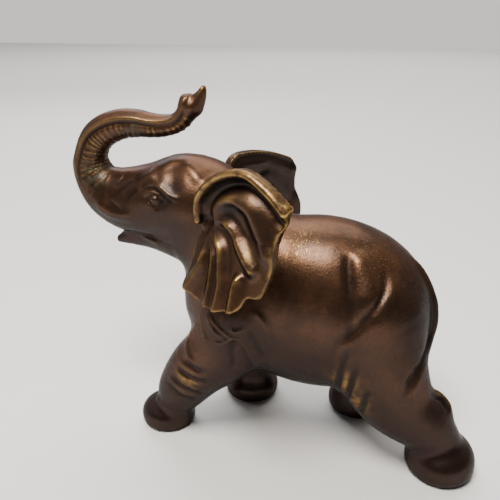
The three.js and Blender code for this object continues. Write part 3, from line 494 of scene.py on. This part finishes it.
FACE_FOLDS = [
    (0.55, -0.65, [[-38.9, -7.6, 61.9], [-37.3, -8, 63.2], [-35.9, -8.3, 63.4], [-34.2, -9.1, 63],
                   [-32.2, -9.9, 62.2], [-28.8, -10.4, 60.9]]),
    (0.8, 0.5, [[-36.2, -7.4, 65], [-34.6, -8.6, 64.1], [-33.1, -9.5, 63.2], [-31.2, -10, 62.2],
                [-28.4, -10.4, 61.3]]),
    (0.4, 0.45, [[-38.5, -8.2, 61.2], [-37.7, -8.2, 62.1], [-36.4, -8.4, 62.6], [-34.6, -8.8, 62.2],
                 [-32.2, -9.9, 61.1]]),
    (0.4, 0.4, [[-38, -8.4, 60.8], [-37.1, -8.8, 59.7], [-35.9, -9.1, 59.4], [-34.7, -9.2, 59.8],
                [-32.8, -9.7, 60.9]]),
    (0.5, -0.4, [[-48.2, -1.6, 49.9], [-45.5, -3.6, 50.4], [-42.3, -4.7, 50.7], [-39.1, -5.5, 50.5],
                 [-35.3, -6.6, 49.9], [-32, -7.8, 50.2]]),
    (0.7, 0.35, [[-42.3, -4.9, 49.6], [-39.1, -5.6, 49.3], [-36.4, -6.4, 48.6]]),
    (0.5, 0.3, [[-38.2, -6.6, 52.1], [-34.6, -6.5, 50.3], [-29.6, -9.5, 52.5]]),
    # the brow's swelling, the hollow of the temple, the ridge before the ear, and the cheek
    (1.9, 0.7, [[-40, -6.6, 62.2], [-38.9, -6.6, 64], [-37.4, -6.4, 65.4], [-35.6, -6, 66.6]]),
    (2, -0.6, [[-33, -4, 68.6], [-32, -6.2, 67.4], [-31.2, -8.2, 65.2], [-30, -9.6, 61.6]]),
    (1.1, 0.4, [[-29.8, -4, 68.8], [-27.9, -5.5, 67.9], [-26, -7, 66.8], [-24.6, -8.4, 65]]),
    (1.4, 0.8, [[-52, -5, 60.5], [-51.2, -5.9, 58], [-49.1, -6.3, 56.3], [-46.4, -7.1, 55.8],
                [-43.2, -8, 55.9], [-40.5, -8.4, 56]]),
    # the wrinkles where the trunk leaves the brow, and on the cheek
    (0.35, -0.22, [[-41.2, -5.1, 64.6], [-43.4, -5.9, 62.9], [-45.4, -6.4, 61.2], [-47, -6.6, 59.8]]),
    (0.35, -0.2, [[-44.5, -2.8, 65.3], [-45.5, -4.7, 63.7], [-47.2, -5.7, 62]]),
    (0.35, -0.22, [[-39.5, -6.9, 63.4], [-41.1, -7.4, 61.5], [-43.3, -7.5, 59.6]]),
    (0.35, -0.18, [[-43.8, -7.6, 56.7], [-45.7, -7.2, 57.6], [-47.9, -6.5, 59.5]]),
]
both_sides = [stroke(*fold, mirrored=True) for fold in FLANK_FOLDS + FACE_FOLDS]
left_side = [stroke(*fold) for fold in THIGH_FOLDS + FORELEG_FOLDS]

# Casting: the wax parts run together into one skin, cut flat under the soles and poured in bronze.
# The skin is drawn as quads over the field's zero surface, finer where the carving is finer.

SPACING = 0.68  # of the lattice that the skin is drawn on
NEAR_CARVING = 0.9  # skin this near to an ear or the ringed trunk is drawn finer
FOLD_SEEN = 0.02  # and so is skin that a fine fold moves by this much
EYE = (-35.5, -8.8, 61.3)
EYE_REACH = 4.5
FIELD_STEEPNESS = 1.7  # the most that the field changes over a hundredth
BLOCK = 4  # lattice cells along a block, which is passed over where the skin is far off
LATTICE_LOW = np.array([-62, -30, -1.1])
LATTICE_HIGH = np.array([43, 33, 88])


def whole_animal(p):
    """The field of the whole casting. Each blend's last number is the width of the fillet in its crease."""
    body = blend(torso(p), neck(p), 6)
    for leg in legs:
        body = blend(body, leg(p), 3)
    body = blend(body, hock(p), 2)
    for sole in feet:
        body = blend(body, sole(p), 1.6)
    head = blend(skull(p), trunk(p), 4)
    head = blend(head, jaw(p), 1.5)
    head = blend(blend(head, trunk_finger(p), 1.2), trunk_lip(p), 1.5)
    head = -blend(-head, nostrils(p), 0.8)
    head = -blend(-head, eye_socket(mirror_left(p)), 1.2)
    head = blend(head, eye_ball(mirror_left(p)), 0.2)
    form = blend(body, head, 4)
    form = blend(blend(form, left_ear_root(p), 2.5), right_ear_root(p), 2.5)
    for lay in both_sides + left_side:
        form -= lay(p)
    form = blend(form, tail(p), 0.8)
    form = blend(blend(form, left_ear(p), 1.6), right_ear(p), 1.6)
    return np.maximum(form, -p[:, 2])


def in_batches(field, p, size=6000):
    return np.concatenate([field(p[i:i + size]) for i in range(0, len(p), size)])


def lattice_values():
    """The field on the lattice, worked out in full only in the blocks that the skin may cross."""
    blocks = np.ceil((LATTICE_HIGH - LATTICE_LOW) / (SPACING * BLOCK)).astype(int)
    block = np.stack(np.meshgrid(*map(np.arange, blocks), indexing="ij"), -1).reshape(-1, 3)
    middle = LATTICE_LOW + SPACING * BLOCK * (block + 0.5 - 0.5 / BLOCK)
    rough = in_batches(whole_animal, middle)
    value = rough.reshape(blocks)
    for axis in range(3):
        value = np.repeat(value, BLOCK, axis=axis)
    half_diagonal = 0.5 * 3**0.5 * SPACING * BLOCK
    crossed = block[np.abs(rough) < FIELD_STEEPNESS * half_diagonal]
    inner = np.array(list(product(range(BLOCK), repeat=3)))
    nodes = (crossed[:, None] * BLOCK + inner).reshape(-1, 3)
    value[tuple(nodes.T)] = in_batches(whole_animal, LATTICE_LOW + SPACING * nodes)
    return value


def draw_skin(value):
    """One vertex in each lattice cell that the surface crosses, and a quad across each crossed edge."""
    inside = value < 0
    corners = np.array(list(product((0, 1), repeat=3)))
    cell_count = [n - 1 for n in value.shape]
    filled = sum(inside[i:cell_count[0] + i, j:cell_count[1] + j, k:cell_count[2] + k].astype(int)
                 for i, j, k in corners)
    cells = np.argwhere((filled > 0) & (filled < 8))
    number = np.full(filled.shape, -1)
    number[tuple(cells.T)] = np.arange(len(cells))
    at = cells[:, None] + corners
    level = value[at[..., 0], at[..., 1], at[..., 2]]
    total, hits = np.zeros((len(cells), 3)), np.zeros((len(cells), 1))
    for a, b in combinations(range(8), 2):
        if np.abs(corners[a] - corners[b]).sum() > 1:
            continue
        crossing = ((level[:, a] < 0) != (level[:, b] < 0))[:, None]
        rise = level[:, a] - level[:, b]
        t = level[:, a] / np.where(rise == 0, 1, rise)
        total += crossing * (corners[a] + t[:, None] * (corners[b] - corners[a]))
        hits += crossing
    points = LATTICE_LOW + SPACING * (cells + total / hits)
    quads = []
    for axis in range(3):
        here = np.moveaxis(inside, axis, 0)
        edges = np.argwhere(np.moveaxis(here[:-1] != here[1:], 0, axis))
        u, w = np.eye(3, dtype=int)[[(axis + 1) % 3, (axis + 2) % 3]]
        around = np.stack([edges, edges - u, edges - u - w, edges - w], 1)
        quad = number[around[..., 0], around[..., 1], around[..., 2]]
        outward = inside[tuple(edges.T)]
        quads.append(np.where(outward[:, None], quad, quad[:, ::-1]))
    return points, np.concatenate(quads)


def settle(points, rounds=2, step=0.05):
    """Moves points onto the surface along the field's slope."""
    for _ in range(rounds):
        level = in_batches(whole_animal, points)
        slope = np.column_stack([
            in_batches(whole_animal, points + step * axis) - level for axis in np.eye(3)]) / step
        move = level[:, None] * slope / np.maximum((slope**2).sum(1), 0.05)[:, None]
        length = np.linalg.norm(move, axis=1, keepdims=True)
        points = points - move * np.minimum(1, 0.5 * SPACING / np.maximum(length, TINY))
    return points


def finely_carved(p):
    """Where the skin is drawn twice as fine: on the ears, the ringed trunk, the eyes and the fine folds."""
    fine = np.minimum(left_ear(p), right_ear(p)) < NEAR_CARVING
    fine |= (trunk(p) < NEAR_CARVING) & ((p[:, 0] < -46) | (p[:, 2] > 71))
    fine |= np.linalg.norm(mirror_left(p) - EYE, axis=1) < EYE_REACH
    narrow_folds = [stroke(*fold, mirrored=True) for fold in FACE_FOLDS if fold[0] < 1]
    for lay in narrow_folds + left_side:
        fine |= np.abs(lay(p)) > FOLD_SEEN
    return fine


points, quads = draw_skin(lattice_values())
points = settle(points, rounds=1)
skin = bpy.data.meshes.new("cast_elephant")
skin.from_pydata(points, [], quads)
work = bmesh.new()
work.from_mesh(skin)
fine = finely_carved(points)
work.verts.ensure_lookup_table()
bmesh.ops.subdivide_edges(
    work,
    edges=[e for e in work.edges if fine[e.verts[0].index] and fine[e.verts[1].index]],
    cuts=1,
    use_grid_fill=True,
)
work.to_mesh(skin)
work.free()
points = np.empty(3 * len(skin.vertices))
skin.vertices.foreach_get("co", points)
points = settle(points.reshape(-1, 3))

TO_MIDDLE = np.array([9.33, -1.62, 0])  # brings the middle of the CAD's box to the origin
skin.vertices.foreach_set("co", ((points + TO_MIDDLE) * HUNDREDTH).ravel())
skin.update()
skin.shade_smooth()
casting = bpy.data.objects.new("cast_elephant", skin)
bpy.context.scene.collection.objects.link(casting)

# Patina: the bronze was coloured dark brown and waxed, then handled until the high edges rubbed back to
# brass, while the fine hollows kept their near-black. Deep recesses, undersides and low parts are darkened
# further with painted shade. How high a place stands over its surroundings is measured on the skin and
# carried to the material as attributes.


def stands_proud(p, reach):
    """How far the air comes in round each point at this reach: over 0 on edges, under 0 in hollows."""
    steps = [side * reach * axis for axis in np.eye(3) for side in (1, -1)]
    return sum(in_batches(whole_animal, p + step) for step in steps) / len(steps)


def around_place(p, spot, radius):
    """1 at the spot, fading out round it."""
    return np.exp(-(((p - spot) ** 2).sum(1) / radius**2))


TEMPLE = (-32, -9, 62.8)
# Painted shade: places that fall into shade, darkened in the colour: the rump, the tail's end, the cheek,
# the lower lip and the foreleg's back. Each has how far it spreads and how dark it is.
SHADE_PLACES = [
    ((26, -8, 38), 9, 1),
    ((30, -2, 30), 8, 1),
    ((-35, -8, 53), 9, 1),
    ((-46, -3, 48.5), 5, 1),
    ((-14, -17, 33), 7, 0.8),
]
# Spots in the ear's bowl under its rim, darkened as painted shade.
EAR_SHADE_SPOTS = [(-14.9, -18.7, 62.9), (-18.5, -16.9, 67.9), (-12.2, -18.8, 69.3)]


narrow = stands_proud(points, 0.5)
broad = stands_proud(points, 1.6)
x, y, z = points.T

on_left_ear = smoothstep(1.2, 0.4, in_batches(left_ear, points))
on_left_ear *= 0.55 + 0.45 * smoothstep(61, 67, z)
on_ears = np.maximum(on_left_ear, 0.6 * smoothstep(1.2, 0.4, in_batches(right_ear, points)))
on_trunk = np.maximum(smoothstep(-47, -51, x) * smoothstep(56, 62, z), smoothstep(70, 72.5, z))
on_knee = around_place(points, (-27, -16.5, 18.2), 3.6)
on_thigh = around_place(points, (9.5, -15.5, 24), 4.5) + around_place(points, (13.5, -15.5, 18.5), 3.5)
on_hock = around_place(points, (33, -9, 17.5), 3)
# Brass rubbed along the tail's ridge, which also paints its lit edge as a highlight.
on_tail_wear_and_highlight = smoothstep(0.5, 0.2, in_batches(tail, points)) * smoothstep(36, 32, z)
on_face = around_place(mirror_left(points), (-36, -8.5, 61.5), 5)
rubbed = np.clip(0.06 + on_ears + 0.35 * on_trunk + 0.7 * on_knee + 0.8 * on_thigh + 0.6 * on_hock
                 + 0.12 * on_face + 0.5 * on_tail_wear_and_highlight, 0, 1)
wear = rubbed * (0.75 * smoothstep(0.02, 0.12, narrow)
                 + 0.6 * (on_knee + on_thigh) * smoothstep(-0.01, 0.03, narrow)
                 + 0.15 * on_left_ear * smoothstep(0.1, 0.5, broad)
                 + 0.3 * around_place(points, (-10.3, -24, 56.2), 1.8))
normals = np.empty(3 * len(points))
skin.vertex_normals.foreach_get("vector", normals)
# Painted shade: the colour darkens on faces turned down, lower down towards the floor, on the right side and
# over the left ear.
turned_down = smoothstep(0.2, -0.5, normals[2::3])
low_down = 0.5 * smoothstep(50, 30, z) + 0.5 * smoothstep(26, 12, z)
sooty = 0.8 * turned_down + low_down + smoothstep(6, 14, y) + 0.5 * on_left_ear
# Painted shade over the temple, which dims the highlight there.
sooty += around_place(mirror_left(points), TEMPLE, 3.3)
for spot, radius, share in SHADE_PLACES:
    sooty += share * around_place(points, spot, radius)
green = around_place(points, (-52.6, -4, 65), 3.4) + around_place(points, (-42.4, -3.2, 75), 1.8)
scuffed = (around_place(points, (15, -8.5, 51.5), 7) + around_place(points, (-3, -9, 53), 4.5)
           + around_place(points, (26, -6, 44), 5))
filed = around_place(points, (-2.5, -8.8, 52.6), 4)
# The near-black in the hollows is patina in the fine creases, and painted shade in the deeper recesses and
# the ear's bowl.
deep = stands_proud(points, 3)
carved = 0.45 + 0.55 * np.clip(on_ears + on_trunk, 0, 1)
hollow = carved * (0.75 * smoothstep(0.005, 0.1, -narrow) + 0.75 * smoothstep(0.01, 0.22, -broad)
                   + 0.4 * smoothstep(0.1, 0.7, -deep))
for spot in EAR_SHADE_SPOTS:
    hollow += 0.9 * around_place(points, spot, 2.3) * (narrow < 0.02)

for name, values in (("wear", wear), ("hollow", hollow), ("sooty", sooty), ("green", green),
                     ("scuffed", scuffed), ("filed", filed)):
    attribute = skin.attributes.new(name, "FLOAT", "POINT")
    attribute.data.foreach_set("value", np.clip(values, 0, 1).astype(np.float32))


class Wire:
    """A value in a material's nodes. Sums on it add the Math nodes that work them out."""

    def __init__(self, tree, socket=None):
        self.tree, self.socket = tree, socket

    def node(self, kind, settings=None, inputs=None, output=0):
        made = self.tree.nodes.new(kind)
        for name, value in (settings or {}).items():
            setattr(made, name, value)
        for name, value in (inputs or {}).items():
            if isinstance(value, Wire):
                self.tree.links.new(value.socket, made.inputs[name])
            else:
                made.inputs[name].default_value = value
        return Wire(self.tree, made.outputs[output])

    def maths(self, operation, *values, clamp=False):
        return self.node("ShaderNodeMath", {"operation": operation, "use_clamp": clamp},
                         dict(enumerate(values)))

    def __add__(self, other):
        return self.maths("ADD", self, other)

    def __radd__(self, other):
        return self.maths("ADD", other, self)

    def __sub__(self, other):
        return self.maths("SUBTRACT", self, other)

    def __rsub__(self, other):
        return self.maths("SUBTRACT", other, self)

    def __mul__(self, other):
        return self.maths("MULTIPLY", self, other)

    def __rmul__(self, other):
        return self.maths("MULTIPLY", other, self)

    def clipped(self):
        return self.maths("ADD", self, 0, clamp=True)

    def between(self, low, high):
        """0 below low, 1 above high, smooth between them."""
        return self.node("ShaderNodeMapRange", {"interpolation_type": "SMOOTHSTEP"},
                         {"Value": self, "From Min": low, "From Max": high})

    def mixed(self, a, b):
        """Colour a where this value is 0, and colour b where it is 1."""
        return self.node("ShaderNodeMix", {"data_type": "RGBA"}, {0: self, 6: a, 7: b}, output=2)


BROWN = (0.105, 0.052, 0.028, 1)
DARK_BROWN = (0.055, 0.029, 0.018, 1)
# A near-black brown, for painted shade and for the dark grain.
SHADE_AND_GRAIN_BROWN = (0.024, 0.0165, 0.0155, 1)
RED_BROWN = (0.13, 0.056, 0.025, 1)
BLACK = (0.012, 0.009, 0.009, 1)
BRASS = (0.42, 0.26, 0.085, 1)
VERDIGRIS = (0.045, 0.065, 0.05, 1)

patina = bpy.data.materials.new("rubbed_brown_patina")
patina.use_nodes = True
tree = patina.node_tree
shader = tree.nodes["Principled BSDF"]
wire = Wire(tree)
place = wire.node("ShaderNodeTexCoord", output="Object")


def noise(scale, detail=3, roughness=0.55):
    return wire.node("ShaderNodeTexNoise", inputs={
        "Vector": place, "Scale": scale, "Detail": detail, "Roughness": roughness})


def attribute(name):
    return wire.node("ShaderNodeAttribute", {"attribute_name": name}, output=2)


clouds = noise(38)
mottle = noise(140, 4)
grain = noise(900, 2)
streaks = noise(210)
worn = (attribute("wear") * (0.25 + 1.2 * streaks.between(0.3, 0.62))).clipped()
sunk_patina_and_shade = attribute("hollow").clipped()
colour = clouds.between(0.35, 0.65).mixed(DARK_BROWN, BROWN)
colour = (mottle.between(0.5, 0.72) * 0.5).mixed(colour, RED_BROWN)
colour = (grain.between(0.5, 0.7) * 0.4).mixed(colour, SHADE_AND_GRAIN_BROWN)
# Painted shade: the colour darkens to near-black brown where the casting falls into shade.
colour = (attribute("sooty") * (0.6 + 0.5 * clouds)).clipped().mixed(colour, SHADE_AND_GRAIN_BROWN)
# Near-black: patina kept in the fine hollows, and painted shade in the deeper recesses.
colour = (sunk_patina_and_shade * 0.92).mixed(colour, BLACK)
colour = (worn * 0.9).mixed(colour, BRASS)
specks = (noise(1300, 1).between(0.66, 0.72) * attribute("scuffed")).clipped()
colour = (specks * 0.7).mixed(colour, BRASS)
along_file = wire.node("ShaderNodeMapping", inputs={"Vector": place, "Scale": (1400, 300, 260)})
marks = wire.node("ShaderNodeTexNoise", inputs={"Vector": along_file, "Scale": 1, "Detail": 2})
marks = (marks.between(0.54, 0.62) * attribute("filed")).clipped()
colour = (marks * 0.55).mixed(colour, BRASS)
crust = (attribute("green") * noise(320, 2).between(0.42, 0.62)).clipped()
colour = (crust * 0.7).mixed(colour, VERDIGRIS)
tree.links.new(colour.socket, shader.inputs["Base Color"])
tree.links.new((0.76 + 0.2 * worn - 0.5 * crust).socket, shader.inputs["Metallic"])
tree.links.new((0.27 + 0.14 * mottle + 0.15 * sunk_patina_and_shade + 0.25 * crust).socket, shader.inputs["Roughness"])
shader.inputs["Specular Tint"].default_value = (0.27, 0.23, 0.22, 1)
shader.inputs["Coat Weight"].default_value = 0.12
shader.inputs["Coat Roughness"].default_value = 0.25
relief = wire.node("ShaderNodeBump", inputs={
    "Height": mottle * 0.55 + grain * 0.45 + (specks + marks) * 0.3, "Strength": 0.45, "Distance": 0.0005})
tree.links.new(relief.socket, shader.inputs["Normal"])

skin.materials.append(patina)
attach(casting, "root")
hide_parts("elephant")

# Studio: a plain pale floor under one broad soft light overhead, and the camera at the photograph's angle,
# above the animal's left side and a little towards its tail.

FLOOR_HALF = 4.0
corners = [(-1, -1), (1, -1), (1, 1), (-1, 1)]
floor_mesh = bpy.data.meshes.new("floor")
floor_mesh.from_pydata([(FLOOR_HALF * i, FLOOR_HALF * j, 0) for i, j in corners], [], [(0, 1, 2, 3)])
floor = bpy.data.objects.new("floor", floor_mesh)
bpy.context.scene.collection.objects.link(floor)
paper = bpy.data.materials.new("pale_paper")
paper.use_nodes = True
paper_shader = paper.node_tree.nodes["Principled BSDF"]
paper_shader.inputs["Base Color"].default_value = (0.78, 0.77, 0.76, 1)
paper_shader.inputs["Roughness"].default_value = 0.8
floor_mesh.materials.append(paper)
floor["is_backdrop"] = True


def soft_light(name, place, aim, size, power, colour):
    lamp = bpy.data.lights.new(name, "AREA")
    lamp.shape = "DISK"
    lamp.size, lamp.energy, lamp.color = size, power, colour
    stand = bpy.data.objects.new(name, lamp)
    stand.location = place
    stand.rotation_euler = (Vector(place) - Vector(aim)).to_track_quat("Z", "Y").to_euler()
    bpy.context.scene.collection.objects.link(stand)


MIDDLE = (0, 0, 0.1)
soft_light("overhead_light", (-0.12, -0.38, 1.05), MIDDLE, size=0.48, power=19, colour=(1, 0.94, 0.86))
soft_light("back_light", (-0.7, 0.9, 0.9), MIDDLE, size=0.7, power=6, colour=(0.95, 0.97, 1))
soft_light("ceiling_light", (-0.3, 2.2, 2.6), (-0.3, 2, 0), size=3, power=95, colour=(1, 0.97, 0.92))

# The room is pale behind the animal and dim behind the camera, so the near side stays dark.
DIM = (0.075, 0.07, 0.07, 1)
PALE = (0.86, 0.83, 0.78, 1)
TO_WALL = (-0.45, 0.88, 0.15)
room = bpy.data.worlds.new("pale_room")
room.use_nodes = True
air = Wire(room.node_tree)
direction = air.node("ShaderNodeTexCoord", output=0)
facing = air.node("ShaderNodeVectorMath", {"operation": "DOT_PRODUCT"}, {0: direction, 1: TO_WALL}, output=1)
room.node_tree.links.new(facing.between(-0.5, 0.7).mixed(DIM, PALE).socket,
                         room.node_tree.nodes["Background"].inputs["Color"])
bpy.context.scene.world = room

CAMERA_PLACE = np.array([14.727, -121.046, 100])
CAMERA_PITCH = 23
CAMERA_YAW = 14
camera = bpy.data.objects.new("camera", bpy.data.cameras.new("camera"))
camera.data.sensor_width = 36
camera.data.lens = 40.32
camera.location = (CAMERA_PLACE + TO_MIDDLE) * HUNDREDTH
camera.rotation_euler = (radians(90 - CAMERA_PITCH), 0, radians(CAMERA_YAW))
bpy.context.scene.collection.objects.link(camera)
bpy.context.scene.camera = camera

({name: [[float(c) for c in corner] for corner in box]
           for name, box in (("cad", cad_box), ("visual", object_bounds()))})
